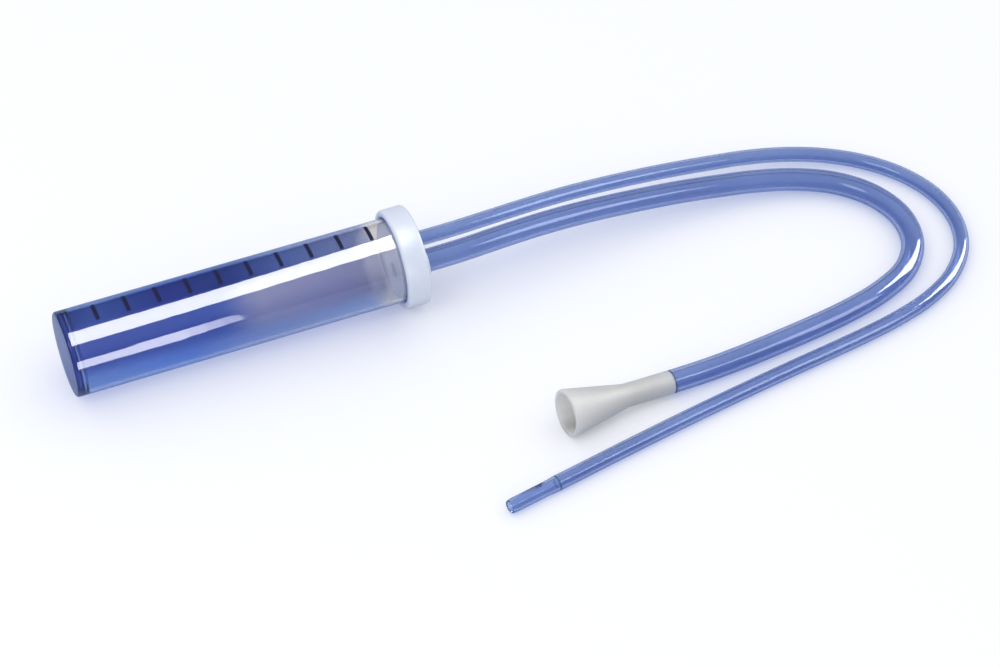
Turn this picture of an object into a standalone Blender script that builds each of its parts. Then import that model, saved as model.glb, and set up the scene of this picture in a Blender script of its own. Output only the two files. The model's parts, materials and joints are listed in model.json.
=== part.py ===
"""Suction catheter with a collecting container, lying on a table.

A clear graduated container lies on its side and a push-fit cap closes its mouth. A thin catheter and
a thicker vacuum tube are pushed into two bosses of the cap, run out together, turn round in one loop
and come back. The catheter ends in a rounded open tip with a side eye, the vacuum tube in a funnel.

Units are metres. +X runs along the container towards the cap, +Z is up, and the table is z = 0.
The origin is on the table, under the middle of the container with its cap.
"""

import math

import bmesh
import bpy
from mathutils import Euler, Matrix, Vector

# Clearances between pieces
SEAT_GAP = 0.0003
CUT_OVERRUN = 0.002

# Container: one clear moulding, closed at one end
CONTAINER_OD = 0.0220
CONTAINER_WALL = 0.0010
CONTAINER_LENGTH = 0.0911
CONTAINER_FLOOR = 0.0016
CONTAINER_EDGE_ROUND = 0.0007
CONTAINER_CORNER_ROUND = 0.0018
CONTAINER_SIDES = 72

# Cap: one soft moulding, a skirt round the mouth and a hollow plug inside it
SKIRT_WALL = 0.0017
SKIRT_LENGTH = 0.0051
CAP_WEB = 0.0012
CAP_EDGE_ROUND = 0.0008
PLUG_WALL = 0.0014
PLUG_DEPTH = 0.0056
PLUG_FLOOR = 0.0015
PLUG_LEAD_IN = 0.0004
BOSS_WALL = 0.0010
BOSS_PROUD = 0.0015
BOSS_RECESS_GAP = 0.0004
BOSS_SIDES = 40
CAP_SIDES = 72
CORNER_STEPS = 4

# The two tubes: outside and bore
CATHETER_OD = 0.0040
CATHETER_BORE = 0.0026
VACUUM_OD = 0.0060
VACUUM_BORE = 0.0040

# Catheter tip: a rounded open nose with an oval eye in its side
TIP_LENGTH = 0.0140
TIP_OD = 0.0037
TIP_BORE = 0.0024
TIP_TAPER = 0.0030
TIP_MOUTH_WALL = 0.0002
TIP_NOSE_LENGTH = 0.0024
TIP_NOSE_STEPS = 5
EYE_FROM_END = 0.0087
EYE_LENGTH = 0.0030
EYE_WIDTH = 0.0016
EYE_TURN = math.radians(35.0)
TIP_SIDES = 32

# Funnel connector on the end of the vacuum tube
FUNNEL_MOUTH_OD = 0.0121
FUNNEL_WALL = 0.0010
FUNNEL_NECK_LENGTH = 0.0128
FUNNEL_CONE_LENGTH = 0.0166
FUNNEL_MOUTH_BAND = 0.0010
FUNNEL_SIDES = 48

# Middle line of the catheter from its seat in the cap to the tip
CATHETER_ROUTE = [
    (0.0405, 0.0046, 0.0130),
    (0.0471, 0.0046, 0.0132),
    (0.0579, 0.0049, 0.0132),
    (0.0686, 0.0060, 0.0127),
    (0.0792, 0.0076, 0.0117),
    (0.0897, 0.0092, 0.0104),
    (0.1003, 0.0104, 0.0090),
    (0.1110, 0.0111, 0.0077),
    (0.1216, 0.0114, 0.0065),
    (0.1323, 0.0112, 0.0054),
    (0.1430, 0.0105, 0.0045),
    (0.1535, 0.0086, 0.0037),
    (0.1636, 0.0050, 0.0030),
    (0.1727, -0.0007, 0.0025),
    (0.1801, -0.0086, 0.0022),
    (0.1847, -0.0182, 0.0020),
    (0.1855, -0.0288, 0.0020),
    (0.1822, -0.0389, 0.0020),
    (0.1751, -0.0471, 0.0020),
    (0.1658, -0.0526, 0.0020),
    (0.1555, -0.0561, 0.0020),
    (0.1450, -0.0585, 0.0020),
    (0.1345, -0.0604, 0.0020),
    (0.1239, -0.0622, 0.0020),
    (0.1133, -0.0641, 0.0020),
    (0.1027, -0.0661, 0.0020),
    (0.0921, -0.0682, 0.0020),
    (0.0816, -0.0704, 0.0020),
    (0.0710, -0.0727, 0.0020),
    (0.0606, -0.0750, 0.0020),
    (0.0538, -0.0765, 0.0020),
]
CATHETER_SAMPLES = 2
CATHETER_BEVEL = 3

# Middle line of the vacuum tube from its seat in the cap to the funnel
VACUUM_ROUTE = [
    (0.0405, -0.0036, 0.0130),
    (0.0471, -0.0036, 0.0132),
    (0.0575, -0.0032, 0.0132),
    (0.0679, -0.0019, 0.0127),
    (0.0784, -0.0004, 0.0118),
    (0.0889, 0.0009, 0.0106),
    (0.0994, 0.0018, 0.0093),
    (0.1099, 0.0023, 0.0080),
    (0.1205, 0.0024, 0.0068),
    (0.1310, 0.0019, 0.0057),
    (0.1415, 0.0007, 0.0049),
    (0.1519, -0.0018, 0.0042),
    (0.1615, -0.0064, 0.0036),
    (0.1688, -0.0139, 0.0032),
    (0.1722, -0.0237, 0.0031),
    (0.1706, -0.0338, 0.0031),
    (0.1645, -0.0418, 0.0031),
    (0.1552, -0.0468, 0.0031),
    (0.1449, -0.0499, 0.0031),
    (0.1343, -0.0520, 0.0031),
    (0.1239, -0.0536, 0.0031),
    (0.1134, -0.0550, 0.0031),
    (0.1029, -0.0561, 0.0032),
    (0.0924, -0.0570, 0.0037),
]
VACUUM_SAMPLES = 3
VACUUM_BEVEL = 4

SMOOTH_ANGLE = math.radians(35.0)
MERGE_DISTANCE = 1e-6

# Sizes that follow from the ones above
CONTAINER_RADIUS = CONTAINER_OD / 2
MOUTH_RADIUS = CONTAINER_RADIUS - CONTAINER_WALL
SKIRT_INNER = CONTAINER_RADIUS + SEAT_GAP
SKIRT_OUTER = SKIRT_INNER + SKIRT_WALL
PLUG_OUTER = MOUTH_RADIUS - SEAT_GAP
RECESS_RADIUS = PLUG_OUTER - PLUG_WALL
WEB_INNER_X = CONTAINER_LENGTH + SEAT_GAP
CAP_FACE_X = WEB_INNER_X + CAP_WEB
SKIRT_END_X = WEB_INNER_X - SKIRT_LENGTH
PLUG_END_X = CONTAINER_LENGTH - PLUG_DEPTH
PLUG_FLOOR_X = PLUG_END_X + PLUG_FLOOR
BOSS_FACE_X = CAP_FACE_X + BOSS_PROUD
CATHETER_BOSS_RADIUS = CATHETER_OD / 2 + SEAT_GAP + BOSS_WALL
VACUUM_BOSS_RADIUS = VACUUM_OD / 2 + SEAT_GAP + BOSS_WALL
CATHETER_PORT_Y = RECESS_RADIUS - BOSS_RECESS_GAP - CATHETER_BOSS_RADIUS
VACUUM_PORT_Y = VACUUM_BOSS_RADIUS + BOSS_RECESS_GAP - RECESS_RADIUS


def resting_tilt():
    """How far the container tips up towards its cap, lying on its bottom edge and on the skirt's edge."""
    base_centre = Vector((CONTAINER_EDGE_ROUND, CONTAINER_RADIUS - CONTAINER_EDGE_ROUND))
    skirt_centre = Vector((SKIRT_END_X + CAP_EDGE_ROUND, SKIRT_OUTER - CAP_EDGE_ROUND))
    span = skirt_centre - base_centre
    return math.atan2(span.y, span.x) + math.asin((CAP_EDGE_ROUND - CONTAINER_EDGE_ROUND) / span.length)


TILT = resting_tilt()
BASE_CENTRE_Z = (
    (CONTAINER_RADIUS - CONTAINER_EDGE_ROUND) * math.cos(TILT)
    + CONTAINER_EDGE_ROUND
    - CONTAINER_EDGE_ROUND * math.sin(TILT)
)
LEFT_END_X = -(CONTAINER_RADIUS - CONTAINER_EDGE_ROUND) * math.sin(TILT)
RIGHT_END_X = BOSS_FACE_X * math.cos(TILT) + VACUUM_BOSS_RADIUS * math.sin(TILT)


def material(name, colour, roughness, alpha=1.0):
    """A plastic of one colour."""
    mat = bpy.data.materials.new(name)
    mat.use_nodes = True
    shader = mat.node_tree.nodes["Principled BSDF"]
    shader.inputs["Base Color"].default_value = (*colour, 1.0)
    shader.inputs["Roughness"].default_value = roughness
    shader.inputs["Metallic"].default_value = 0.0
    shader.inputs["Alpha"].default_value = alpha
    return mat


def arc(centre, radius, start, end, steps):
    """Points (along, out) on a round stretch of a profile, angles in degrees."""
    points = []
    for step in range(steps + 1):
        angle = math.radians(start + (end - start) * step / steps)
        points.append((centre[0] + radius * math.cos(angle), centre[1] + radius * math.sin(angle)))
    return points


def finish(mesh, bm):
    """Writes a closed shape to its mesh with its faces pointing out and its round faces smooth."""
    bmesh.ops.remove_doubles(bm, verts=bm.verts, dist=MERGE_DISTANCE)
    bmesh.ops.recalc_face_normals(bm, faces=bm.faces)
    bm.to_mesh(mesh)
    bm.free()
    mesh.shade_smooth()
    mesh.set_sharp_from_angle(angle=SMOOTH_ANGLE)


def turned(name, profile, sides, closed=False):
    """A shape turned about its own X axis from a profile of (along, out) points."""
    mesh = bpy.data.meshes.new(name)
    bm = bmesh.new()
    verts = [bm.verts.new((along, 0.0, out)) for along, out in profile]
    edges = [bm.edges.new(pair) for pair in zip(verts, verts[1:])]
    if closed:
        edges.append(bm.edges.new((verts[-1], verts[0])))
    bmesh.ops.spin(
        bm,
        geom=verts + edges,
        cent=(0.0, 0.0, 0.0),
        axis=(1.0, 0.0, 0.0),
        dvec=(0.0, 0.0, 0.0),
        angle=2 * math.pi,
        steps=sides,
        use_merge=True,
    )
    finish(mesh, bm)
    return linked(name, mesh)


def linked(name, data):
    """A new object in the scene."""
    obj = bpy.data.objects.new(name, data)
    bpy.context.scene.collection.objects.link(obj)
    return obj


def rod(name, x_start, x_end, y, radius, sides):
    """A round bar along X."""
    bar = turned(name, [(x_start, 0.0), (x_start, radius), (x_end, radius), (x_end, 0.0)], sides)
    bar.location.y = y
    return bar


def combine(obj, other, operation):
    """Adds the other shape to obj, or cuts it away, and keeps the other as a hidden guide."""
    modifier = obj.modifiers.new(other.name, "BOOLEAN")
    modifier.operation = operation
    modifier.solver = "EXACT"
    modifier.use_hole_tolerant = True
    modifier.object = other
    other.parent = obj.parent
    other.hide_render = True
    other.display_type = "WIRE"


def smooth_line(points, samples):
    """Points read from a smooth curve that passes through all the given ones."""
    route = [Vector(p) for p in points]
    padded = [2 * route[0] - route[1], *route, 2 * route[-1] - route[-2]]
    line = []
    for before, start, end, after in zip(padded, padded[1:], padded[2:], padded[3:]):
        for sample in range(samples):
            t = sample / samples
            line.append(
                0.5
                * (
                    2 * start
                    + (end - before) * t
                    + (2 * before - 5 * start + 4 * end - after) * t**2
                    + (3 * start - before - 3 * end + after) * t**3
                )
            )
    line.append(route[-1])
    return line


def tube(name, route, samples, diameter, bevel_resolution, mat):
    """A round tube along a route, as one filled curve."""
    curve = bpy.data.curves.new(name, "CURVE")
    curve.dimensions = "3D"
    curve.bevel_depth = diameter / 2
    curve.bevel_resolution = bevel_resolution
    curve.use_fill_caps = True
    line = smooth_line(route, samples)
    spline = curve.splines.new("POLY")
    spline.points.add(len(line) - 1)
    for point, place in zip(spline.points, line):
        point.co = (*place, 1.0)
    spline.use_smooth = True
    obj = linked(name, curve)
    obj.data.materials.append(mat)
    return obj


def end_place(route, samples):
    """The last point of a tube and the direction in which it ends."""
    line = smooth_line(route, samples)
    return line[-1], (line[-1] - line[-2]).normalized()


def make_container(parent, mat):
    """Clear round container: rounded bottom edge, straight wall and an open mouth."""
    inner_corner = (CONTAINER_FLOOR + CONTAINER_CORNER_ROUND, MOUTH_RADIUS - CONTAINER_CORNER_ROUND)
    outer_corner = (CONTAINER_EDGE_ROUND, CONTAINER_RADIUS - CONTAINER_EDGE_ROUND)
    profile = [(0.0, 0.0)]
    profile += arc(outer_corner, CONTAINER_EDGE_ROUND, 180, 90, CORNER_STEPS)
    profile += [(CONTAINER_LENGTH, CONTAINER_RADIUS), (CONTAINER_LENGTH, MOUTH_RADIUS)]
    profile += arc(inner_corner, CONTAINER_CORNER_ROUND, 90, 180, CORNER_STEPS)
    profile += [(CONTAINER_FLOOR, 0.0)]
    container = turned("container", profile, CONTAINER_SIDES)
    container.parent = parent
    container.data.materials.append(mat)


def make_cap(parent, mat):
    """Soft cap: skirt over the mouth, hollow plug inside it and two bosses that hold the tubes."""
    skirt_edge = (SKIRT_END_X + CAP_EDGE_ROUND, SKIRT_OUTER - CAP_EDGE_ROUND)
    face_edge = (CAP_FACE_X - CAP_EDGE_ROUND, SKIRT_OUTER - CAP_EDGE_ROUND)
    profile = [(PLUG_END_X, 0.0), (PLUG_END_X, PLUG_OUTER - PLUG_LEAD_IN)]
    profile += [(PLUG_END_X + PLUG_LEAD_IN, PLUG_OUTER), (WEB_INNER_X, PLUG_OUTER)]
    profile += [(WEB_INNER_X, SKIRT_INNER), (SKIRT_END_X, SKIRT_INNER)]
    profile += arc(skirt_edge, CAP_EDGE_ROUND, 180, 90, CORNER_STEPS)
    profile += arc(face_edge, CAP_EDGE_ROUND, 90, 0, CORNER_STEPS)
    profile += [(CAP_FACE_X, RECESS_RADIUS), (PLUG_FLOOR_X, RECESS_RADIUS), (PLUG_FLOOR_X, 0.0)]
    cap = turned("cap", profile, CAP_SIDES)
    cap.parent = parent
    cap.data.materials.append(mat)
    boss_start = PLUG_END_X + PLUG_FLOOR / 2
    for tube_name, port_y, boss_radius in (
        ("catheter", CATHETER_PORT_Y, CATHETER_BOSS_RADIUS),
        ("vacuum", VACUUM_PORT_Y, VACUUM_BOSS_RADIUS),
    ):
        boss = rod(tube_name + "_boss", boss_start, BOSS_FACE_X, port_y, boss_radius, BOSS_SIDES)
        combine(cap, boss, "UNION")
    for tube_name, port_y, boss_radius, bore in (
        ("catheter", CATHETER_PORT_Y, CATHETER_BOSS_RADIUS, CATHETER_BORE),
        ("vacuum", VACUUM_PORT_Y, VACUUM_BOSS_RADIUS, VACUUM_BORE),
    ):
        seat_radius = boss_radius - BOSS_WALL
        seat = rod(tube_name + "_seat", PLUG_FLOOR_X, BOSS_FACE_X + CUT_OVERRUN, port_y, seat_radius, BOSS_SIDES)
        combine(cap, seat, "DIFFERENCE")
        hole = rod(tube_name + "_hole", PLUG_END_X - CUT_OVERRUN, BOSS_FACE_X, port_y, bore / 2, BOSS_SIDES)
        combine(cap, hole, "DIFFERENCE")


def make_tip(mat):
    """Distal end of the catheter: straight, a little thinner, with a rounded open nose and a side eye."""
    place, direction = end_place(CATHETER_ROUTE, CATHETER_SAMPLES)
    start = SEAT_GAP
    mouth_radius = TIP_BORE / 2 + TIP_MOUTH_WALL
    nose_drop = TIP_OD / 2 - mouth_radius
    nose_start = TIP_LENGTH - TIP_NOSE_LENGTH
    profile = [(start, CATHETER_BORE / 2), (start, CATHETER_OD / 2), (start + TIP_TAPER, TIP_OD / 2)]
    for step in range(TIP_NOSE_STEPS + 1):
        angle = math.radians(90.0 * step / TIP_NOSE_STEPS)
        along = nose_start + TIP_NOSE_LENGTH * math.sin(angle)
        profile.append((along, mouth_radius + nose_drop * math.cos(angle)))
    profile += [(TIP_LENGTH, TIP_BORE / 2), (start + TIP_TAPER, TIP_BORE / 2)]
    tip = turned("catheter_tip", profile, TIP_SIDES, closed=True)
    tip.location = place
    tip.rotation_euler = direction.to_track_quat("X", "Z").to_euler()
    tip.data.materials.append(mat)
    eye = rod("eye_cut", 0.0, CATHETER_OD, 0.0, EYE_LENGTH / 2, TIP_SIDES)
    upright = Euler((0.0, -math.pi / 2, 0.0)).to_matrix().to_4x4()
    oval = Matrix.Diagonal((1.0, EYE_WIDTH / EYE_LENGTH, 1.0, 1.0))
    turn = Euler((EYE_TURN, 0.0, 0.0)).to_matrix().to_4x4()
    along = Matrix.Translation((TIP_LENGTH - EYE_FROM_END, 0.0, 0.0))
    eye.data.transform(along @ turn @ oval @ upright)
    eye.location = tip.location
    eye.rotation_euler = tip.rotation_euler
    combine(tip, eye, "DIFFERENCE")


def make_funnel(mat):
    """Flared connector: a neck as thick as the vacuum tube, then a cone that rests on its mouth's rim."""
    place, direction = end_place(VACUUM_ROUTE, VACUUM_SAMPLES)
    neck_radius = VACUUM_OD / 2
    mouth_radius = FUNNEL_MOUTH_OD / 2
    cone_start = SEAT_GAP + FUNNEL_NECK_LENGTH
    end = cone_start + FUNNEL_CONE_LENGTH
    band_start = end - FUNNEL_MOUTH_BAND
    profile = [
        (SEAT_GAP, VACUUM_BORE / 2),
        (SEAT_GAP, neck_radius),
        (cone_start, neck_radius),
        (band_start, mouth_radius),
        (end, mouth_radius),
        (end, mouth_radius - FUNNEL_WALL),
        (band_start, mouth_radius - FUNNEL_WALL),
        (cone_start, VACUUM_BORE / 2),
    ]
    funnel = turned("funnel_connector", profile, FUNNEL_SIDES, closed=True)
    rise = math.atan2(mouth_radius, band_start) - math.asin(place.z / math.hypot(band_start, mouth_radius))
    level = Vector((direction.x, direction.y, 0.0)).normalized()
    axis = level * math.cos(rise) + Vector((0.0, 0.0, math.sin(rise)))
    funnel.location = place
    funnel.rotation_euler = axis.to_track_quat("X", "Z").to_euler()
    funnel.data.materials.append(mat)


def main():
    """Builds every piece."""
    for obj in list(bpy.data.objects):
        bpy.data.objects.remove(obj)

    clear = material("clear_polystyrene", (0.62, 0.70, 0.90), 0.08, 0.45)
    white = material("natural_polythene", (0.80, 0.85, 0.92), 0.40)
    tubing = material("clear_pvc", (0.45, 0.55, 0.82), 0.15, 0.6)
    frosted = material("frosted_pvc", (0.62, 0.62, 0.60), 0.45)

    resting = linked("resting_frame", None)
    resting.rotation_euler = (0.0, -TILT, 0.0)
    resting.location = (-(LEFT_END_X + RIGHT_END_X) / 2, 0.0, BASE_CENTRE_Z)

    make_container(resting, clear)
    make_cap(resting, white)
    tube("catheter_tube", CATHETER_ROUTE, CATHETER_SAMPLES, CATHETER_OD, CATHETER_BEVEL, tubing)
    make_tip(tubing)
    tube("vacuum_tube", VACUUM_ROUTE, VACUUM_SAMPLES, VACUUM_OD, VACUUM_BEVEL, tubing)
    make_funnel(frosted)


main()
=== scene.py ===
"""Suction catheter with a collecting container, dressed for rendering.

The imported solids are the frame. Each piece here rides on the container or on the cap with its tubes.
Lengths are metres, +X runs along the container towards its cap, and the table is z = 0.
"""

import json
import math

import bmesh
import bpy
from mathutils import Euler, Matrix, Vector


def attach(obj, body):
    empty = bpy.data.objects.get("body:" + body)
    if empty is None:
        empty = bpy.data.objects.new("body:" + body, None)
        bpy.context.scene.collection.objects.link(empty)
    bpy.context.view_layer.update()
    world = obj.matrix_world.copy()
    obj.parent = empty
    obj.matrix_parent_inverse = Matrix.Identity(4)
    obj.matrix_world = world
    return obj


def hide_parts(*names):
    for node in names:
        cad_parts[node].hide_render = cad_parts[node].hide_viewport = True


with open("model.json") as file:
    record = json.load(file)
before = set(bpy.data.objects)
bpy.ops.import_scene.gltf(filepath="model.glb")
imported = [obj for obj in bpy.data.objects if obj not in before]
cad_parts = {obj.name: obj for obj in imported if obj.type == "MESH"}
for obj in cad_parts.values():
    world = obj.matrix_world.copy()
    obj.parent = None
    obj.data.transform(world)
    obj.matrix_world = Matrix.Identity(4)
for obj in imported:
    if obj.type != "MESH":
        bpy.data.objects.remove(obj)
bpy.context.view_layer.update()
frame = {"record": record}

# Camera
# The picture looks down on the part from its front left, from a little under a metre away.
# A long lens keeps the container and the tubes' loop nearly without perspective.
CAMERA_PLACE = (-0.1557, -0.57274, 0.60552)
CAMERA_AZIMUTH = math.radians(-21.409)
CAMERA_ELEVATION = math.radians(45.7)
CAMERA_LENS = 120.0
SENSOR_WIDTH = 36.0
CLIP_START = 0.01

bpy.ops.object.select_all(action="DESELECT")
bpy.ops.object.camera_add(
    location=CAMERA_PLACE,
    rotation=(math.pi / 2 - CAMERA_ELEVATION, 0.0, CAMERA_AZIMUTH),
)
camera = bpy.context.object
camera.data.lens = CAMERA_LENS
camera.data.sensor_width = SENSOR_WIDTH
camera.data.clip_start = CLIP_START
bpy.context.scene.camera = camera

# The two tubes
# The catheter and the vacuum tube are extruded from soft clear PVC with a blue tint. Both leave the
# cap side by side, sink to the table, turn round in one loop and lie back beside each other.
CATHETER_OD = 0.0040
CATHETER_BORE = 0.0026
VACUUM_OD = 0.0060
VACUUM_BORE = 0.0040
TUBE_SAMPLES = 6
TUBE_SIDES = 48
TUBE_CREASE = math.radians(40.0)
DIE_LINES_PER_MM = 3.0
DIE_LINE_DRIFT = 0.03
TUBE_TINTS = ((0.3, "#B0C1E1"), (0.7, "#BACAE7"))
TUBE_SHADOW = "#D6DFEF"
TUBE_BODY = "#7F9BE6"
TUBE_DENSITY = 150.0
MM = 0.001
# Each route runs along the middle of its tube, from inside the cap to the far end.
CATHETER_ROUTE = [
    (0.0405, 0.0046, 0.0130),
    (0.0471, 0.0046, 0.0132),
    (0.0579, 0.0049, 0.0132),
    (0.0686, 0.0060, 0.0127),
    (0.0792, 0.0076, 0.0117),
    (0.0897, 0.0092, 0.0104),
    (0.1003, 0.0104, 0.0090),
    (0.1110, 0.0111, 0.0077),
    (0.1216, 0.0114, 0.0065),
    (0.1323, 0.0112, 0.0054),
    (0.1430, 0.0105, 0.0045),
    (0.1535, 0.0086, 0.0037),
    (0.1636, 0.0050, 0.0030),
    (0.1727, -0.0007, 0.0025),
    (0.1801, -0.0086, 0.0022),
    (0.1847, -0.0182, 0.0020),
    (0.1855, -0.0288, 0.0020),
    (0.1822, -0.0389, 0.0020),
    (0.1751, -0.0471, 0.0020),
    (0.1658, -0.0526, 0.0020),
    (0.1555, -0.0561, 0.0020),
    (0.1450, -0.0585, 0.0020),
    (0.1345, -0.0604, 0.0020),
    (0.1239, -0.0622, 0.0020),
    (0.1133, -0.0641, 0.0020),
    (0.1027, -0.0661, 0.0020),
    (0.0921, -0.0682, 0.0020),
    (0.0816, -0.0704, 0.0020),
    (0.0710, -0.0727, 0.0020),
    (0.0606, -0.0750, 0.0020),
    (0.0538, -0.0765, 0.0020),
]
VACUUM_ROUTE = [
    (0.0405, -0.0036, 0.0130),
    (0.0471, -0.0036, 0.0132),
    (0.0575, -0.0032, 0.0132),
    (0.0679, -0.0019, 0.0127),
    (0.0784, -0.0004, 0.0118),
    (0.0889, 0.0009, 0.0106),
    (0.0994, 0.0018, 0.0093),
    (0.1099, 0.0023, 0.0080),
    (0.1205, 0.0024, 0.0068),
    (0.1310, 0.0019, 0.0057),
    (0.1415, 0.0007, 0.0049),
    (0.1519, -0.0018, 0.0042),
    (0.1615, -0.0064, 0.0036),
    (0.1688, -0.0139, 0.0032),
    (0.1722, -0.0237, 0.0031),
    (0.1706, -0.0338, 0.0031),
    (0.1645, -0.0418, 0.0031),
    (0.1552, -0.0468, 0.0031),
    (0.1449, -0.0499, 0.0031),
    (0.1343, -0.0520, 0.0031),
    (0.1239, -0.0536, 0.0031),
    (0.1134, -0.0550, 0.0031),
    (0.1029, -0.0561, 0.0032),
    (0.0924, -0.0570, 0.0037),
]


def smooth_line(points, samples):
    """Points read from a smooth curve that passes through all the given ones."""
    route = [Vector(p) for p in points]
    padded = [2 * route[0] - route[1], *route, 2 * route[-1] - route[-2]]
    line = []
    for before, start, end, after in zip(padded, padded[1:], padded[2:], padded[3:]):
        for sample in range(samples):
            t = sample / samples
            line.append(
                0.5
                * (
                    2 * start
                    + (end - before) * t
                    + (2 * before - 5 * start + 4 * end - after) * t**2
                    + (3 * start - before - 3 * end + after) * t**3
                )
            )
    line.append(route[-1])
    return line


def hollow_tube(name, line, outside, bore, sides):
    """A tube with its wall and bore, ring by ring, and a UV map in millimetres round it and along it."""
    mesh_build = bmesh.new()
    uv = mesh_build.loops.layers.uv.new("UVMap")
    up = Vector((0.0, 0.0, 1.0))
    travel = [0.0]
    for start, end in zip(line, line[1:]):
        travel.append(travel[-1] + (end - start).length)
    walls = []
    for radius in (outside / 2, bore / 2):
        rings = []
        for number, place in enumerate(line):
            ahead = line[min(number + 1, len(line) - 1)] - line[max(number - 1, 0)]
            side = ahead.cross(up).normalized()
            rise = side.cross(ahead).normalized()
            ring = []
            for step in range(sides):
                angle = 2 * math.pi * step / sides
                outward = side * math.cos(angle) + rise * math.sin(angle)
                ring.append(mesh_build.verts.new(place + radius * outward))
            rings.append(ring)
        walls.append(rings)
    round_mm = math.pi * outside / MM
    for rings in walls:
        for number in range(len(line) - 1):
            for step in range(sides):
                corners = [(number, step), (number, step + 1), (number + 1, step + 1), (number + 1, step)]
                face = mesh_build.faces.new([rings[ring][place % sides] for ring, place in corners])
                for loop, (ring, place) in zip(face.loops, corners):
                    loop[uv].uv = (round_mm * place / sides, travel[ring] / MM)
    for ring in (0, -1):
        for step in range(sides):
            pair = [walls[0][ring][step], walls[0][ring][(step + 1) % sides]]
            mesh_build.faces.new([*pair, walls[1][ring][(step + 1) % sides], walls[1][ring][step]])
    bmesh.ops.recalc_face_normals(mesh_build, faces=mesh_build.faces)
    mesh = bpy.data.meshes.new(name)
    mesh_build.to_mesh(mesh)
    mesh_build.free()
    tube = bpy.data.objects.new(name, mesh)
    bpy.context.scene.collection.objects.link(tube)
    mesh.shade_smooth()
    mesh.set_sharp_from_angle(angle=TUBE_CREASE)
    return tube


def linear(colour):
    """An sRGB hex colour as linear RGBA."""
    parts = [int(colour[place : place + 2], 16) / 255 for place in (1, 3, 5)]
    return (*[part / 12.92 if part <= 0.04045 else ((part + 0.055) / 1.055) ** 2.4 for part in parts], 1.0)


def add_node(material, kind, values=None, links=None, **settings):
    """Adds a node: its settings, the values of its sockets, and the outputs linked to them."""
    new = material.node_tree.nodes.new(kind)
    for name, value in settings.items():
        setattr(new, name, value)
    for socket, value in (values or {}).items():
        new.inputs[socket].default_value = value
    for socket, source in (links or {}).items():
        material.node_tree.links.new(source, new.inputs[socket])
    return new


def new_material(name):
    """An empty node material."""
    material = bpy.data.materials.new(name)
    material.use_nodes = True
    material.node_tree.nodes.clear()
    return material


def clear_plastic(material, shader, shadow_tint, body_colour, density):
    """Finishes a clear plastic: light from lamps and from the table goes straight through its surface.

    The surface tints that light, so the shadow is coloured. The plastic inside takes a little more away.
    """
    path = add_node(material, "ShaderNodeLightPath")
    passing = add_node(material, "ShaderNodeBsdfTransparent", {"Color": linear(shadow_tint)})
    from_table = add_node(
        material,
        "ShaderNodeMixShader",
        links={0: path.outputs["Is Diffuse Ray"], 1: shader.outputs[0], 2: passing.outputs[0]},
    )
    from_lamps = add_node(
        material,
        "ShaderNodeMixShader",
        links={0: path.outputs["Is Shadow Ray"], 1: from_table.outputs[0], 2: passing.outputs[0]},
    )
    inside = add_node(
        material, "ShaderNodeVolumeAbsorption", {"Color": linear(body_colour), "Density": density}
    )
    add_node(
        material,
        "ShaderNodeOutputMaterial",
        links={"Surface": from_lamps.outputs[0], "Volume": inside.outputs[0]},
    )


# Plasticised PVC is soft and glossy. The die leaves faint lines along it, about 0.3 mm apart, and
# the plasticiser a slight cloud in its blue, some 17 mm across.
tubing = new_material("extruded_soft_pvc_clear_blue")
tube_place = add_node(tubing, "ShaderNodeUVMap", uv_map="UVMap")
tube_stretch = add_node(
    tubing,
    "ShaderNodeMapping",
    {"Scale": (DIE_LINES_PER_MM, DIE_LINE_DRIFT, 1.0)},
    {"Vector": tube_place.outputs["UV"]},
)
die_lines = add_node(
    tubing, "ShaderNodeTexNoise", {"Scale": 1.0, "Detail": 2.0}, {"Vector": tube_stretch.outputs["Vector"]}
)
die_bump = add_node(
    tubing, "ShaderNodeBump", {"Strength": 0.12, "Distance": 0.00002}, {"Height": die_lines.outputs["Fac"]}
)
tube_space = add_node(tubing, "ShaderNodeTexCoord")
tube_cloud = add_node(
    tubing, "ShaderNodeTexNoise", {"Scale": 60.0, "Detail": 2.0}, {"Vector": tube_space.outputs["Object"]}
)
tube_tint = add_node(tubing, "ShaderNodeValToRGB", links={"Fac": tube_cloud.outputs["Fac"]})
for element, (place, colour) in zip(tube_tint.color_ramp.elements, TUBE_TINTS):
    element.position = place
    element.color = linear(colour)
tube_shader = add_node(
    tubing,
    "ShaderNodeBsdfPrincipled",
    {"Roughness": 0.05, "IOR": 1.53, "Transmission Weight": 0.92},
    {"Base Color": tube_tint.outputs["Color"], "Normal": die_bump.outputs["Normal"]},
)
clear_plastic(tubing, tube_shader, TUBE_SHADOW, TUBE_BODY, TUBE_DENSITY)

catheter_line = smooth_line(CATHETER_ROUTE, TUBE_SAMPLES)
vacuum_line = smooth_line(VACUUM_ROUTE, TUBE_SAMPLES)
catheter = hollow_tube("catheter", catheter_line, CATHETER_OD, CATHETER_BORE, TUBE_SIDES)
vacuum = hollow_tube("vacuum_line", vacuum_line, VACUUM_OD, VACUUM_BORE, TUBE_SIDES)
for piece, node in ((catheter, "catheter_tube"), (vacuum, "vacuum_tube")):
    piece.data.materials.append(tubing)
    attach(piece, "cap_and_tubes")
    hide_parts(node)

# Catheter tip
# The far end is drawn down a little in diameter, rounded by heat round its open mouth, and has one
# oval eye punched through its side, so that it can't seal itself against a wall.
TIP_LENGTH = 0.0140
TIP_OD = 0.0037
TIP_BORE = 0.0024
TIP_TAPER = 0.0030
TIP_MOUTH_WALL = 0.00035
TIP_NOSE_LENGTH = 0.0022
TIP_NOSE_STEPS = 8
TIP_MOUTH_CHAMFER = 0.0002
TIP_SIDES = 64
TIP_TINT = "#B6C8E8"
SEAT_GAP = 0.0003
EYE_FROM_END = 0.0087
EYE_LENGTH = 0.0030
EYE_WIDTH = 0.0016
EYE_TURN = math.radians(35.0)
CREASE = math.radians(30.0)
MERGE_DISTANCE = 0.000002


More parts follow.
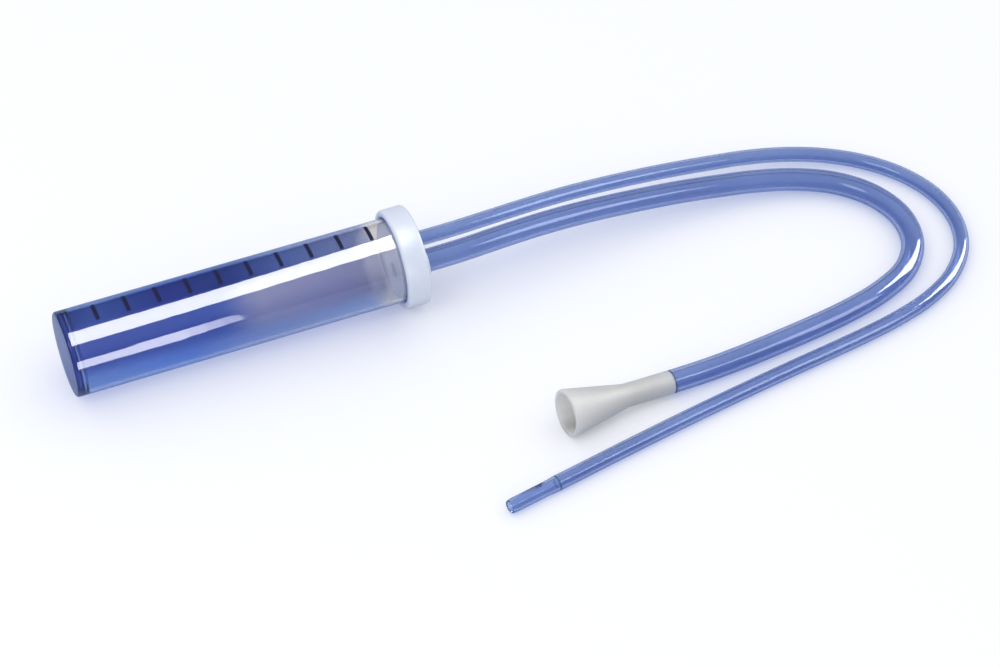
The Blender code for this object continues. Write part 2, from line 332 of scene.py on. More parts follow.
def corner(centre, radius, start, end, steps):
    """Points (along, out) on a round stretch of an outline, angles in degrees."""
    points = []
    for step in range(steps + 1):
        angle = math.radians(start + (end - start) * step / steps)
        points.append((centre[0] + radius * math.cos(angle), centre[1] + radius * math.sin(angle)))
    return points


def turned(name, outline, sides):
    """A ring round the X axis, extruded and scaled from point to point (along, out) of an outline.

    An outline that ends where it starts makes a ring with a wall. On any other, both ends are closed.
    """
    bpy.ops.object.select_all(action="DESELECT")
    along, out = outline[0]
    bpy.ops.mesh.primitive_circle_add(
        vertices=sides, radius=out, location=(along, 0.0, 0.0), rotation=(0.0, math.pi / 2, 0.0)
    )
    piece = bpy.context.object
    piece.name = name
    piece.data.name = name
    bpy.ops.object.transform_apply(location=True, rotation=True, scale=True)
    bpy.ops.object.mode_set(mode="EDIT")
    bpy.ops.mesh.select_all(action="SELECT")
    for (along, out), (next_along, next_out) in zip(outline, outline[1:]):
        bpy.ops.mesh.extrude_region_move(TRANSFORM_OT_translate={"value": (next_along - along, 0.0, 0.0)})
        bpy.ops.transform.resize(
            value=(1.0, next_out / out, next_out / out), center_override=(next_along, 0.0, 0.0)
        )
    bpy.ops.mesh.select_all(action="SELECT")
    bpy.ops.mesh.remove_doubles(threshold=MERGE_DISTANCE)
    if outline[0] != outline[-1]:
        bpy.ops.mesh.fill_holes(sides=0)
    bpy.ops.mesh.normals_make_consistent(inside=False)
    bpy.ops.object.mode_set(mode="OBJECT")
    bpy.ops.object.shade_smooth_by_angle(angle=CREASE)
    return piece


def put(piece, matrix):
    """Puts a finished shape in its place, in its mesh, with its object left at the origin."""
    piece.data.transform(matrix)
    piece.data.update()


def boolean(piece, other, operation):
    """Joins the other shape to piece, or cuts it away, for good."""
    bpy.ops.object.select_all(action="DESELECT")
    bpy.context.view_layer.objects.active = piece
    piece.select_set(True)
    modifier = piece.modifiers.new(other.name, "BOOLEAN")
    modifier.operation = operation
    modifier.solver = "EXACT"
    modifier.object = other
    bpy.ops.object.modifier_apply(modifier=modifier.name)
    bpy.data.objects.remove(other)


tip_mouth = TIP_BORE / 2 + TIP_MOUTH_WALL
tip_shoulder = SEAT_GAP + TIP_TAPER
tip_outline = [(SEAT_GAP, CATHETER_OD / 2), (tip_shoulder, TIP_OD / 2)]
for step in range(TIP_NOSE_STEPS + 1):
    angle = math.pi / 2 * step / TIP_NOSE_STEPS
    nose_along = TIP_LENGTH - TIP_NOSE_LENGTH + TIP_NOSE_LENGTH * math.sin(angle)
    tip_outline.append((nose_along, tip_mouth + (TIP_OD / 2 - tip_mouth) * math.cos(angle)))
tip_outline += [(TIP_LENGTH - TIP_MOUTH_CHAMFER, TIP_BORE / 2), (tip_shoulder, TIP_BORE / 2)]
tip_outline += [(SEAT_GAP, CATHETER_BORE / 2), tip_outline[0]]
tip = turned("tip_with_eye", tip_outline, TIP_SIDES)
eye = turned("eye_punch", [(0.0, EYE_LENGTH / 2), (CATHETER_OD, EYE_LENGTH / 2)], TIP_SIDES)
put(eye, Euler((0.0, -math.pi / 2, 0.0)).to_matrix().to_4x4())
put(eye, Matrix.Diagonal((1.0, EYE_WIDTH / EYE_LENGTH, 1.0, 1.0)))
put(eye, Euler((EYE_TURN, 0.0, 0.0)).to_matrix().to_4x4())
put(eye, Matrix.Translation((TIP_LENGTH - EYE_FROM_END, 0.0, 0.0)))
boolean(tip, eye, "DIFFERENCE")
tip_ahead = (catheter_line[-1] - catheter_line[-2]).normalized()
put(tip, Matrix.Translation(catheter_line[-1]) @ tip_ahead.to_track_quat("X", "Z").to_matrix().to_4x4())

# The tip is the same PVC, but heat has blurred its die lines, so its surface is a little softer. The
# unevenness that is left is drawn about 1 mm wide, coarser than it is, so that it shows.
tip_plastic = new_material("heat_formed_soft_pvc_clear_blue")
tip_space = add_node(tip_plastic, "ShaderNodeTexCoord")
tip_grain = add_node(
    tip_plastic,
    "ShaderNodeTexNoise",
    {"Scale": 900.0, "Detail": 2.0},
    {"Vector": tip_space.outputs["Object"]},
)
tip_bump = add_node(
    tip_plastic,
    "ShaderNodeBump",
    {"Strength": 0.1, "Distance": 0.00002},
    {"Height": tip_grain.outputs["Fac"]},
)
tip_shader = add_node(
    tip_plastic,
    "ShaderNodeBsdfPrincipled",
    {"Base Color": linear(TIP_TINT), "Roughness": 0.09, "IOR": 1.53, "Transmission Weight": 0.9},
    {"Normal": tip_bump.outputs["Normal"]},
)
clear_plastic(tip_plastic, tip_shader, TUBE_SHADOW, TUBE_BODY, TUBE_DENSITY)
tip.data.materials.append(tip_plastic)
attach(tip, "cap_and_tubes")
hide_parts("catheter_tip")

# Funnel connector
# A frosted PVC funnel is welded to the end of the vacuum tube. Its cone takes the nose of a suction
# connector of any usual size, and its rim has a narrow straight band.
FUNNEL_MOUTH_OD = 0.0121
FUNNEL_WALL = 0.0010
FUNNEL_NECK_LENGTH = 0.0128
FUNNEL_CONE_LENGTH = 0.0166
FUNNEL_MOUTH_BAND = 0.0010
FUNNEL_NECK_CHAMFER = 0.0002
FUNNEL_BLEND = 0.0012
FUNNEL_BLEND_START = 0.00002
FUNNEL_BLEND_SHARE = 0.075
FUNNEL_RIM_ROUND = 0.00035
FUNNEL_RIM_STEPS = 5
FUNNEL_SIDES = 96
FROST_TINTS = ((0.35, "#E6E5DE"), (0.65, "#EEECE4"))
neck_radius = VACUUM_OD / 2
mouth_radius = FUNNEL_MOUTH_OD / 2
cone_start = SEAT_GAP + FUNNEL_NECK_LENGTH
funnel_end = cone_start + FUNNEL_CONE_LENGTH
band_start = funnel_end - FUNNEL_MOUTH_BAND
rim_middle = funnel_end - FUNNEL_RIM_ROUND
# The neck bends softly into the cone, over FUNNEL_BLEND on either side of where they meet.
blend_radius = neck_radius + (mouth_radius - neck_radius) * FUNNEL_BLEND_SHARE
funnel_outline = [(SEAT_GAP, VACUUM_BORE / 2), (SEAT_GAP, neck_radius - FUNNEL_NECK_CHAMFER)]
funnel_outline += [(SEAT_GAP + FUNNEL_NECK_CHAMFER, neck_radius), (cone_start - FUNNEL_BLEND, neck_radius)]
funnel_outline += [(cone_start, neck_radius + FUNNEL_BLEND_START)]
funnel_outline += [(cone_start + FUNNEL_BLEND, blend_radius), (band_start, mouth_radius)]
funnel_outline += corner(
    (rim_middle, mouth_radius - FUNNEL_RIM_ROUND), FUNNEL_RIM_ROUND, 90, 0, FUNNEL_RIM_STEPS
)
funnel_outline += corner(
    (rim_middle, mouth_radius - FUNNEL_WALL + FUNNEL_RIM_ROUND), FUNNEL_RIM_ROUND, 0, -90, FUNNEL_RIM_STEPS
)
funnel_outline += [(band_start, mouth_radius - FUNNEL_WALL), (cone_start, VACUUM_BORE / 2)]
funnel_outline += [funnel_outline[0]]
funnel = turned("funnel", funnel_outline, FUNNEL_SIDES)
funnel_place = vacuum_line[-1]
funnel_ahead = (vacuum_line[-1] - vacuum_line[-2]).normalized()
# The neck takes the tube's heading and height, and the mouth's rim rests on the table.
mouth_reach = math.hypot(band_start, mouth_radius)
funnel_rise = math.atan2(mouth_radius, band_start) - math.asin(funnel_place.z / mouth_reach)
funnel_level = Vector((funnel_ahead.x, funnel_ahead.y, 0.0)).normalized()
funnel_axis = funnel_level * math.cos(funnel_rise) + Vector((0.0, 0.0, math.sin(funnel_rise)))
put(funnel, Matrix.Translation(funnel_place) @ funnel_axis.to_track_quat("X", "Z").to_matrix().to_4x4())

# Filled, matt moulded PVC: it glows a little and shows a soft grey-white. Its fine eroded texture is
# drawn 0.7 mm wide so that it shows, over faint clouds of about 8 mm.
frosted = new_material("moulded_frosted_pvc")
frost_space = add_node(frosted, "ShaderNodeTexCoord")
frost_grain = add_node(
    frosted,
    "ShaderNodeTexNoise",
    {"Scale": 1500.0, "Detail": 3.0},
    {"Vector": frost_space.outputs["Object"]},
)
frost_bump = add_node(
    frosted,
    "ShaderNodeBump",
    {"Strength": 0.25, "Distance": 0.00003},
    {"Height": frost_grain.outputs["Fac"]},
)
frost_cloud = add_node(
    frosted,
    "ShaderNodeTexNoise",
    {"Scale": 120.0, "Detail": 2.0},
    {"Vector": frost_space.outputs["Object"]},
)
frost_colour = add_node(frosted, "ShaderNodeValToRGB", links={"Fac": frost_cloud.outputs["Fac"]})
for element, (place, colour) in zip(frost_colour.color_ramp.elements, FROST_TINTS):
    element.position = place
    element.color = linear(colour)
frost_shader = add_node(
    frosted,
    "ShaderNodeBsdfPrincipled",
    {
        "Roughness": 0.5,
        "IOR": 1.53,
        "Transmission Weight": 0.2,
        "Subsurface Weight": 0.9,
        "Subsurface Radius": (1.0, 1.0, 1.0),
        "Subsurface Scale": 0.006,
    },
    {"Base Color": frost_colour.outputs["Color"], "Normal": frost_bump.outputs["Normal"]},
)
add_node(frosted, "ShaderNodeOutputMaterial", links={"Surface": frost_shader.outputs[0]})
funnel.data.materials.append(frosted)
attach(funnel, "cap_and_tubes")
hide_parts("funnel_connector")

# Container
# One clear moulding of polystyrene with a blue tint: a flat closed end with a crisp edge, a straight
# polished wall 1 mm thick, and a rounded lip inside the cap. It lies tipped up by the cap's ring.
CONTAINER_OD = 0.0220
CONTAINER_WALL = 0.0010
CONTAINER_LENGTH = 0.0911
CONTAINER_FLOOR = 0.0016
CONTAINER_EDGE_ROUND = 0.0007
CONTAINER_CORNER_ROUND = 0.0018
CONTAINER_LIP_ROUND = 0.00035
CONTAINER_EDGE_STEPS = 6
CONTAINER_CORNER_STEPS = 8
CONTAINER_LIP_STEPS = 5
STRAIGHT_INSET = 0.0004
CONTAINER_SIDES = 144
WALL_SHADOW = "#E4E8F3"
WALL_BODY = "#7E97E2"
WALL_DENSITY = 100.0
WALL_START = -0.047
WALL_END = 0.044
FRONT_BLEND = (0.0005, 0.0045)
TOP_BLEND = (0.0165, 0.0205)
CENTRE_RADIUS = 0.0004
base_mount = frame["record"]["mounts"][0]
base_out = Vector(base_mount["axis"])
tilt = math.atan2(-base_out.z, -base_out.x)
resting = Matrix.Translation(base_mount["pos_m"]) @ Euler((0.0, -tilt, 0.0)).to_matrix().to_4x4()

# Next to each round, the straight wall has a second ring of points STRAIGHT_INSET away. Without it the
# smooth shading of the round runs on along the wall and bends what the wall mirrors.
outer_radius = CONTAINER_OD / 2
inner_radius = outer_radius - CONTAINER_WALL
disc_middle = outer_radius / 2
lip_start = CONTAINER_LENGTH - CONTAINER_LIP_ROUND
corner_end = CONTAINER_FLOOR + CONTAINER_CORNER_ROUND
container_outline = [(0.0, CENTRE_RADIUS), (0.0, disc_middle)]
container_outline += corner(
    (CONTAINER_EDGE_ROUND, outer_radius - CONTAINER_EDGE_ROUND),
    CONTAINER_EDGE_ROUND,
    180,
    90,
    CONTAINER_EDGE_STEPS,
)
container_outline += [(CONTAINER_EDGE_ROUND + STRAIGHT_INSET, outer_radius)]
container_outline += [(lip_start - STRAIGHT_INSET, outer_radius)]
container_outline += corner(
    (lip_start, outer_radius - CONTAINER_LIP_ROUND), CONTAINER_LIP_ROUND, 90, 0, CONTAINER_LIP_STEPS
)
container_outline += corner(
    (lip_start, inner_radius + CONTAINER_LIP_ROUND), CONTAINER_LIP_ROUND, 0, -90, CONTAINER_LIP_STEPS
)
container_outline += [(lip_start - STRAIGHT_INSET, inner_radius)]
container_outline += [(corner_end + STRAIGHT_INSET, inner_radius)]
container_outline += corner(
    (corner_end, inner_radius - CONTAINER_CORNER_ROUND),
    CONTAINER_CORNER_ROUND,
    90,
    180,
    CONTAINER_CORNER_STEPS,
)
container_outline += [(CONTAINER_FLOOR, disc_middle), (CONTAINER_FLOOR, CENTRE_RADIUS)]
container = turned("container_wall", container_outline, CONTAINER_SIDES)
put(container, resting)

# Polished general-purpose polystyrene: high gloss and a high index for a plastic. The tint is
# deepest at the thick closed end, turns to lilac along the wall and fades at the mouth; at the closed
# end the deepest stops are partly painted shade. It has one run of stops each for the lower side, the
# front and the top, given as shares of the wall's length. The lower side's run is lighter, a painted
# reflection of the table in front, and the top's run is darker blue, painted shade.
# The flow of the melt leaves faint waves of about 7 mm in the polish.
WALL_TINTS_AND_PAINTED_LIGHT = {
    "lower": (
        (0.016, "#6C86C4"),
        (0.03, "#B6D2F1"),
        (0.33, "#A0C3F2"),
        (0.5, "#BACDEB"),
        (0.65, "#C4D4EA"),
        (0.87, "#CFDFF2"),
        (0.895, "#FBF7EC"),
    ),
    "front": (
        (0.016, "#6C80C0"),
        (0.03, "#8A9DD5"),
        (0.44, "#819AD4"),
        (0.54, "#CCCDDD"),
        (0.76, "#C4C5DA"),
        (0.886, "#BDBFD2"),
        (0.906, "#FBF6EA"),
    ),
    "top": (
        (0.016, "#5874B4"),
        (0.1, "#6A89C3"),
        (0.3, "#4567B4"),
        (0.48, "#4166AE"),
        (0.65, "#8499C8"),
        (0.873, "#AAB2CC"),
        (0.898, "#F8F3E8"),
    ),
}
polystyrene = new_material("moulded_clear_polystyrene_blue_painted_light")
wall_space = add_node(polystyrene, "ShaderNodeTexCoord")
wall_split = add_node(polystyrene, "ShaderNodeSeparateXYZ", links={"Vector": wall_space.outputs["Object"]})
wall_reach = add_node(
    polystyrene,
    "ShaderNodeMapRange",
    {"From Min": WALL_START, "From Max": WALL_END},
    {"Value": wall_split.outputs["X"]},
)
wall_tints_and_painted_light = {}
for side, stops in WALL_TINTS_AND_PAINTED_LIGHT.items():
    ramp = add_node(polystyrene, "ShaderNodeValToRGB", links={"Fac": wall_reach.outputs["Result"]})
    elements = ramp.color_ramp.elements
    for place, colour in stops[1:-1]:
        elements.new(place)
    for element, (place, colour) in zip(elements, stops):
        element.position = place
        element.color = linear(colour)
    wall_tints_and_painted_light[side] = ramp.outputs["Color"]
# Y and Z added up say how far round the wall a point is: little on the lower side, most on the top.
# So the painted reflection lies low at the front and the painted shade lies on the top.
wall_turn = add_node(
    polystyrene,
    "ShaderNodeMath",
    links={0: wall_split.outputs["Y"], 1: wall_split.outputs["Z"]},
    operation="ADD",
)
painted_reflection_fade = add_node(
    polystyrene,
    "ShaderNodeMapRange",
    {"From Min": FRONT_BLEND[0], "From Max": FRONT_BLEND[1]},
    {"Value": wall_turn.outputs[0]},
)
painted_shade_share = add_node(
    polystyrene,
    "ShaderNodeMapRange",
    {"From Min": TOP_BLEND[0], "From Max": TOP_BLEND[1]},
    {"Value": wall_turn.outputs[0]},
)
# The lower side's lighter run, a painted reflection, blends into the front's run here.
wall_painted_reflection_and_front = add_node(
    polystyrene,
    "ShaderNodeMixRGB",
    links={
        "Fac": painted_reflection_fade.outputs["Result"],
        "Color1": wall_tints_and_painted_light["lower"],
        "Color2": wall_tints_and_painted_light["front"],
    },
)
# The top's darker run, painted shade, blends in over the top here.
wall_tint_and_painted_light = add_node(
    polystyrene,
    "ShaderNodeMixRGB",
    links={
        "Fac": painted_shade_share.outputs["Result"],
        "Color1": wall_painted_reflection_and_front.outputs["Color"],
        "Color2": wall_tints_and_painted_light["top"],
    },
)
wall_flow = add_node(
    polystyrene,
    "ShaderNodeTexNoise",
    {"Scale": 140.0, "Detail": 2.0},
    {"Vector": wall_space.outputs["Object"]},
)
wall_bump = add_node(
    polystyrene,
    "ShaderNodeBump",
    {"Strength": 0.05, "Distance": 0.00005},
    {"Height": wall_flow.outputs["Fac"]},
)
wall_shader = add_node(
    polystyrene,
    "ShaderNodeBsdfPrincipled",
    {"Roughness": 0.03, "IOR": 1.59, "Transmission Weight": 0.96},
    {"Base Color": wall_tint_and_painted_light.outputs["Color"], "Normal": wall_bump.outputs["Normal"]},
)
clear_plastic(polystyrene, wall_shader, WALL_SHADOW, WALL_BODY, WALL_DENSITY)
container.data.materials.append(polystyrene)
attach(container, "container")
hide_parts("container")

# Scale marks
# Ten short bars of dark blue ink are printed round the top of the wall, one for each 2.5 ml. In a
# bore of 20 mm they stand 7.96 mm apart. Their angles count from the wall's front up over its top.
MARK_COUNT = 10
MARK_FIRST = 0.0093
MARK_PITCH = 0.00796
MARK_WIDTH = 0.0010
MARK_START = math.radians(80.0)
MARK_END = math.radians(111.0)
MARK_STEPS = 16
INK_THICKNESS = 0.00003
INK_TINTS = ((0.4, "#10123A"), (0.7, "#1C2150"))

# The ink's inner face stands half its thickness off the wall, so that the two don't share a surface.
ink_middle = outer_radius + INK_THICKNESS
bpy.ops.object.select_all(action="DESELECT")
bpy.ops.mesh.primitive_plane_add(
    size=1.0, location=(0.0, 0.0, ink_middle), rotation=(math.pi / 2, 0.0, 0.0)
)
first_mark = bpy.context.object
first_mark.name = "scale_marks"
bpy.ops.object.transform_apply(location=True, rotation=True, scale=True)
bpy.ops.object.mode_set(mode="EDIT")
bpy.ops.mesh.select_all(action="SELECT")
bpy.ops.transform.resize(value=(MARK_WIDTH, 1.0, INK_THICKNESS), center_override=(0.0, 0.0, ink_middle))
bpy.ops.object.mode_set(mode="OBJECT")
put(first_mark, Euler((math.pi / 2 - MARK_START, 0.0, 0.0)).to_matrix().to_4x4())
bpy.ops.object.mode_set(mode="EDIT")
bpy.ops.mesh.select_all(action="SELECT")
bpy.ops.mesh.delete(type="ONLY_FACE")
bpy.ops.mesh.select_all(action="SELECT")
bpy.ops.mesh.spin(
    steps=MARK_STEPS, angle=MARK_END - MARK_START, center=(0.0, 0.0, 0.0), axis=(1.0, 0.0, 0.0)
)
bpy.ops.mesh.select_all(action="SELECT")
bpy.ops.mesh.fill_holes(sides=0)
bpy.ops.mesh.normals_make_consistent(inside=False)
bpy.ops.object.mode_set(mode="OBJECT")
put(first_mark, Matrix.Translation((MARK_FIRST, 0.0, 0.0)))
marks = [first_mark]
for number in range(1, MARK_COUNT):
    mark = first_mark.copy()
    mark.data = first_mark.data.copy()
    mark.data.transform(Matrix.Translation((MARK_PITCH * number, 0.0, 0.0)))
    bpy.context.scene.collection.objects.link(mark)
    marks.append(mark)
for mark in marks:
    mark.select_set(True)
bpy.context.view_layer.objects.active = first_mark
bpy.ops.object.join()
put(first_mark, resting)

# Screen-printing ink on polystyrene: almost black blue, dull, with a cover slightly broken in specks
# of 0.4 mm.
ink = new_material("printed_navy_ink")
ink_space = add_node(ink, "ShaderNodeTexCoord")
ink_cover = add_node(
    ink, "ShaderNodeTexNoise", {"Scale": 2500.0, "Detail": 2.0}, {"Vector": ink_space.outputs["Object"]}
)
ink_colour = add_node(ink, "ShaderNodeValToRGB", links={"Fac": ink_cover.outputs["Fac"]})
for element, (place, colour) in zip(ink_colour.color_ramp.elements, INK_TINTS):
    element.position = place
    element.color = linear(colour)
ink_shader = add_node(
    ink,
    "ShaderNodeBsdfPrincipled",
    {"Roughness": 0.6, "Specular IOR Level": 0.25},
    {"Base Color": ink_colour.outputs["Color"]},
)
add_node(ink, "ShaderNodeOutputMaterial", links={"Surface": ink_shader.outputs[0]})
first_mark.data.materials.append(ink)
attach(first_mark, "container")

# Cap
# A soft push-fit cap of natural polythene in one moulding: a skirt outside the mouth, a hollow plug
# inside it, and two bosses in the plug's recess that grip the tubes.
SKIRT_WALL = 0.0017
SKIRT_LENGTH = 0.0051
CAP_WEB = 0.0012
CAP_EDGE_ROUND = 0.0008
CAP_EDGE_STEPS = 6
SKIRT_LEAD_IN = 0.0003
RECESS_LIP_ROUND = 0.0004
RECESS_FLOOR_ROUND = 0.0005
RECESS_STEPS = 4
PLUG_WALL = 0.0014
PLUG_DEPTH = 0.0056
PLUG_FLOOR = 0.0015
PLUG_LEAD_IN = 0.0004
BOSS_WALL = 0.0010
BOSS_PROUD = 0.0015
BOSS_ROUND = 0.0003
BOSS_STEPS = 4
CATHETER_PORT_Y = 0.0046
VACUUM_PORT_Y = -0.0036
CAP_SIDES = 144
BOSS_SIDES = 64
TUBE_GRIP_GAP = 0.00005
SEAT_CHAMFER = 0.0003
SEAT_OVERCUT = 0.0002
HOLE_OVERCUT = 0.001
CAP_TINTS = ((0.3, "#DDE5F2"), (0.7, "#E8EEF8"))
skirt_inner = outer_radius + SEAT_GAP
skirt_outer = skirt_inner + SKIRT_WALL
plug_outer = inner_radius - SEAT_GAP
recess_radius = plug_outer - PLUG_WALL
web_inner = CONTAINER_LENGTH + SEAT_GAP
cap_face = web_inner + CAP_WEB
skirt_end = web_inner - SKIRT_LENGTH
plug_end = CONTAINER_LENGTH - PLUG_DEPTH
plug_floor = plug_end + PLUG_FLOOR
boss_face = cap_face + BOSS_PROUD
cap_outline = [(plug_end, CENTRE_RADIUS), (plug_end, plug_outer - PLUG_LEAD_IN)]
cap_outline += [(plug_end + PLUG_LEAD_IN, plug_outer), (web_inner, plug_outer), (web_inner, skirt_inner)]
cap_outline += [(skirt_end + SKIRT_LEAD_IN, skirt_inner), (skirt_end, skirt_inner + SKIRT_LEAD_IN)]
for edge_middle, start, end in ((skirt_end + CAP_EDGE_ROUND, 180, 90), (cap_face - CAP_EDGE_ROUND, 90, 0)):
    edge_centre = (edge_middle, skirt_outer - CAP_EDGE_ROUND)
    cap_outline += corner(edge_centre, CAP_EDGE_ROUND, start, end, CAP_EDGE_STEPS)
cap_outline += corner(
    (cap_face - RECESS_LIP_ROUND, recess_radius + RECESS_LIP_ROUND), RECESS_LIP_ROUND, 0, -90, RECESS_STEPS
)
cap_outline += corner(
    (plug_floor + RECESS_FLOOR_ROUND, recess_radius - RECESS_FLOOR_ROUND),
    RECESS_FLOOR_ROUND,
    90,
    180,
    RECESS_STEPS,
)
cap_outline += [(plug_floor, CENTRE_RADIUS)]
cap = turned("push_fit_cap", cap_outline, CAP_SIDES)
for tube_name, port_y, outside, bore in (
    ("catheter", CATHETER_PORT_Y, CATHETER_OD, CATHETER_BORE),
    ("vacuum", VACUUM_PORT_Y, VACUUM_OD, VACUUM_BORE),
):
    boss_radius = outside / 2 + SEAT_GAP + BOSS_WALL
    boss_outline = [(plug_end + PLUG_FLOOR / 2, boss_radius)]
    boss_outline += corner(
        (boss_face - BOSS_ROUND, boss_radius - BOSS_ROUND), BOSS_ROUND, 90, 0, BOSS_STEPS
    )
    boss = turned(tube_name + "_boss", boss_outline, BOSS_SIDES)
    put(boss, Matrix.Translation((0.0, port_y, 0.0)))
    boolean(cap, boss, "UNION")
    grip_radius = outside / 2 + TUBE_GRIP_GAP
    seat_outline = [(plug_floor, grip_radius), (boss_face - SEAT_CHAMFER, grip_radius)]
    seat_outline += [(boss_face + SEAT_OVERCUT, grip_radius + SEAT_CHAMFER + SEAT_OVERCUT)]
    seat = turned(tube_name + "_seat", seat_outline, BOSS_SIDES)
    put(seat, Matrix.Translation((0.0, port_y, 0.0)))
    boolean(cap, seat, "DIFFERENCE")
    hole_outline = [(plug_end - HOLE_OVERCUT, bore / 2), (boss_face, bore / 2)]
    hole = turned(tube_name + "_hole", hole_outline, BOSS_SIDES)
    put(hole, Matrix.Translation((0.0, port_y, 0.0)))
    boolean(cap, hole, "DIFFERENCE")
put(cap, resting)
bpy.ops.object.select_all(action="DESELECT")
cap.select_set(True)
bpy.context.view_layer.objects.active = cap
bpy.ops.object.shade_smooth_by_angle(angle=CREASE)

# Natural low-density polythene: milky, waxy and soft. Light spreads a millimetre or two in it. The
# satin that the mould leaves is drawn 0.9 mm wide so that it shows, over clouds of about 11 mm.
polythene = new_material("moulded_natural_polythene")
cap_space = add_node(polythene, "ShaderNodeTexCoord")
cap_grain = add_node(
    polythene,
    "ShaderNodeTexNoise",
    {"Scale": 1100.0, "Detail": 3.0},
    {"Vector": cap_space.outputs["Object"]},
)
cap_bump = add_node(
    polythene,
    "ShaderNodeBump",
    {"Strength": 0.2, "Distance": 0.00003},
    {"Height": cap_grain.outputs["Fac"]},
)
cap_cloud = add_node(
    polythene,
    "ShaderNodeTexNoise",
    {"Scale": 90.0, "Detail": 2.0},
    {"Vector": cap_space.outputs["Object"]},
)
cap_colour = add_node(polythene, "ShaderNodeValToRGB", links={"Fac": cap_cloud.outputs["Fac"]})
for element, (place, colour) in zip(cap_colour.color_ramp.elements, CAP_TINTS):
    element.position = place
    element.color = linear(colour)
cap_shader = add_node(
    polythene,
    "ShaderNodeBsdfPrincipled",
    {
        "Roughness": 0.34,
        "IOR": 1.51,
        "Subsurface Weight": 0.5,
        "Subsurface Radius": (1.0, 1.1, 1.3),
        "Subsurface Scale": 0.001,
    },
    {"Base Color": cap_colour.outputs["Color"], "Normal": cap_bump.outputs["Normal"]},
)
add_node(polythene, "ShaderNodeOutputMaterial", links={"Surface": cap_shader.outputs[0]})
cap.data.materials.append(polythene)
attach(cap, "cap_and_tubes")
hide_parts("cap")

# Table and light
# The part lies on a plain white table under a pale sky of soft light. One lamp lights it from the
# left, two give the tubes' bends their highlights, and two rows draw the container's white streaks.
FLOOR_SIZE = 3.0
FLOOR_DROP = 0.0001
TABLE_WHITE = "#F2F3F5"
TABLE_GLOW = 0.12
TABLE_MIRRORED = "#A9B4CC"
SKY_TINTS = ((0.05, "#818695"), (0.75, "#F9FAFF"))
SKY_FELT = 1.1
SKY_MIRRORED = 0.45
bpy.ops.object.select_all(action="DESELECT")
bpy.ops.mesh.primitive_plane_add(size=FLOOR_SIZE, location=(0.0, 0.0, -FLOOR_DROP))
floor = bpy.context.object
floor.name = "table"
white_table = new_material("white_table")
table_shader = add_node(white_table, "ShaderNodeBsdfDiffuse", {"Color": linear(TABLE_WHITE)})
table_glow = add_node(
    white_table, "ShaderNodeEmission", {"Color": linear("#FFFFFF"), "Strength": TABLE_GLOW}
)
table_lit = add_node(
    white_table, "ShaderNodeAddShader", links={0: table_shader.outputs[0], 1: table_glow.outputs[0]}
)
table_path = add_node(white_table, "ShaderNodeLightPath")
table_seen = add_node(
    white_table,
    "ShaderNodeMath",
    links={0: table_path.outputs["Is Camera Ray"], 1: table_path.outputs["Is Glossy Ray"]},
    operation="MAXIMUM",
)
table_shown = add_node(
    white_table,
    "ShaderNodeMath",
    links={0: table_seen.outputs[0], 1: table_path.outputs["Is Transmission Ray"]},
    operation="MAXIMUM",
)
table_mixed = add_node(
    white_table,
    "ShaderNodeMixShader",
    links={0: table_shown.outputs[0], 1: table_shader.outputs[0], 2: table_lit.outputs[0]},
)
# To mirror reflections the table and the sky are dimmer, as they are among a studio's dark screens,
# so that the streaks stand out on the clear plastic.
table_mirror = add_node(
    white_table,
    "ShaderNodeMath",
    links={0: table_path.outputs["Is Glossy Ray"], 1: table_path.outputs["Is Reflection Ray"]},
    operation="MULTIPLY",
)
table_dim = add_node(white_table, "ShaderNodeBsdfDiffuse", {"Color": linear(TABLE_MIRRORED)})
table_done = add_node(
    white_table,
    "ShaderNodeMixShader",
    links={0: table_mirror.outputs[0], 1: table_mixed.outputs[0], 2: table_dim.outputs[0]},
)
add_node(white_table, "ShaderNodeOutputMaterial", links={"Surface": table_done.outputs[0]})
floor.data.materials.append(white_table)

world = bpy.data.worlds.new("pale_sky")
bpy.context.scene.world = world
world.use_nodes = True
world.node_tree.nodes.clear()
sky_place = add_node(world, "ShaderNodeTexCoord")
sky_split = add_node(world, "ShaderNodeSeparateXYZ", links={"Vector": sky_place.outputs["Generated"]})
sky_shade = add_node(world, "ShaderNodeValToRGB", links={"Fac": sky_split.outputs["Z"]})
for element, (place, colour) in zip(sky_shade.color_ramp.elements, SKY_TINTS):
    element.position = place
    element.color = linear(colour)
sky_light = add_node(
    world, "ShaderNodeBackground", {"Strength": SKY_FELT}, {"Color": sky_shade.outputs["Color"]}
)
sky_dim = add_node(
    world, "ShaderNodeBackground", {"Strength": SKY_MIRRORED}, {"Color": sky_shade.outputs["Color"]}
)
sky_white = add_node(world, "ShaderNodeBackground", {"Color": linear("#FFFFFF"), "Strength": 1.0})
sky_path = add_node(world, "ShaderNodeLightPath")
sky_mirror = add_node(
    world,
    "ShaderNodeMath",
    links={0: sky_path.outputs["Is Glossy Ray"], 1: sky_path.outputs["Is Reflection Ray"]},
    operation="MULTIPLY",
)
sky_felt = add_node(
    world,
    "ShaderNodeMixShader",
    links={0: sky_mirror.outputs[0], 1: sky_light.outputs[0], 2: sky_dim.outputs[0]},
)
sky = add_node(
    world,
    "ShaderNodeMixShader",
    links={0: sky_path.outputs["Is Camera Ray"], 1: sky_felt.outputs[0], 2: sky_white.outputs[0]},
)
add_node(world, "ShaderNodeOutputWorld", links={"Surface": sky.outputs[0]})


def soft_box(name, place, rotation, width, depth, radiance):
    """A rectangular lamp of the given brightness."""
    bpy.ops.object.select_all(action="DESELECT")
    bpy.ops.object.light_add(type="AREA", location=place, rotation=rotation)
    lamp = bpy.context.object
    lamp.name = name
    lamp.data.shape = "RECTANGLE"
    lamp.data.size = width
    lamp.data.size_y = depth
    lamp.data.energy = radiance * math.pi * width * depth
    lamp.visible_camera = False
    return lamp


def aimed(place, target):
    """The rotation of a lamp that faces a point."""
    return (Vector(target) - Vector(place)).to_track_quat("-Z", "Y").to_euler()


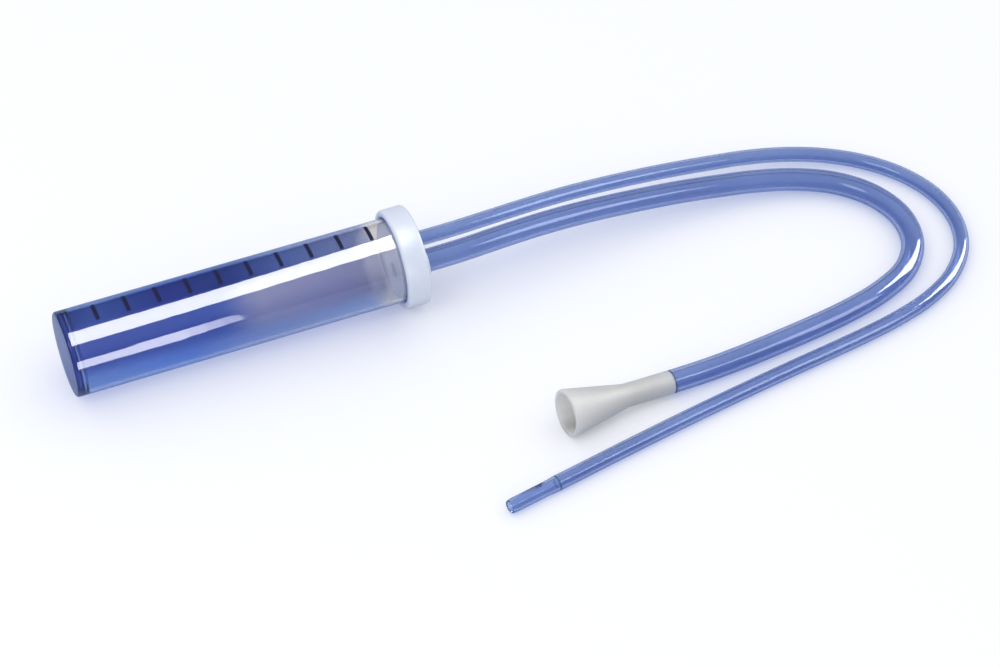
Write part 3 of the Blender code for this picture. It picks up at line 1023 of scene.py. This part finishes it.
# Each lamp's name, place, aim, width, depth and brightness.
LAMPS = (
    ("key", (-0.45, -0.35, 0.75), (0.06, -0.03, 0.0), 0.40, 0.40, 2.4),
    ("bend_light", (0.83, 0.02, 0.44), (0.17, -0.04, 0.0), 0.50, 0.55, 14.0),
    ("front_light", (0.66, -0.55, 0.50), (0.10, -0.05, 0.0), 0.30, 0.45, 4.0),
)
lamps = [
    soft_box(name, place, aimed(place, target), width, depth, radiance)
    for name, place, target, width, depth, radiance in LAMPS
]
# The last two only draw highlights on smooth surfaces.
for lamp in lamps[1:]:
    lamp.visible_diffuse = False

# A slanted row of twelve narrow lamps overhead gives the upper streak. A smooth curve through these
# places, each with its near and far edge, is read at every lamp.
STREAK_HEIGHT = 0.60
STREAK_WIDTH = 0.014
STREAK_RADIANCE = 15.0
STREAK_SAMPLES = 3
UPPER_STREAK = (
    (0.011, -0.316, 0.086),
    (0.053, -0.289, 0.107),
    (0.095, -0.244, 0.146),
    (0.137, -0.186, 0.203),
    (0.179, -0.140, 0.278),
)
streaks = []
for across, near, far in smooth_line(UPPER_STREAK, STREAK_SAMPLES)[:-1]:
    middle = (across, (near + far) / 2, STREAK_HEIGHT)
    streaks.append(
        soft_box("upper_streak", middle, (0.0, 0.0, 0.0), STREAK_WIDTH, far - near, STREAK_RADIANCE)
    )

# Five upright lamps low in front give the lower one. Each has its left, right, low and high edge and
# its brightness.
STREAK_FRONT = -0.60
LOWER_STREAK = (
    (0.018, 0.050, 0.0, 0.222, 11.0),
    (0.050, 0.072, 0.0, 0.260, 11.0),
    (0.072, 0.080, 0.025, 0.270, 9.5),
    (0.080, 0.088, 0.045, 0.277, 8.0),
    (0.088, 0.096, 0.065, 0.283, 6.5),
)
upright = (math.pi / 2, 0.0, 0.0)
for left, right, low, high, radiance in LOWER_STREAK:
    middle = ((left + right) / 2, STREAK_FRONT, (low + high) / 2)
    streaks.append(soft_box("lower_streak", middle, upright, right - left, high - low, radiance))

# Both rows light only the container and the cap, so that the tubes have none of their streaks.
streaked = bpy.data.collections.new("streaked_pieces")
streaked.objects.link(container)
streaked.objects.link(cap)
for lamp in streaks:
    lamp.light_linking.receiver_collection = streaked
    lamp.visible_diffuse = False
    lamp.visible_transmission = False

bpy.context.scene.view_settings.view_transform = "Standard"
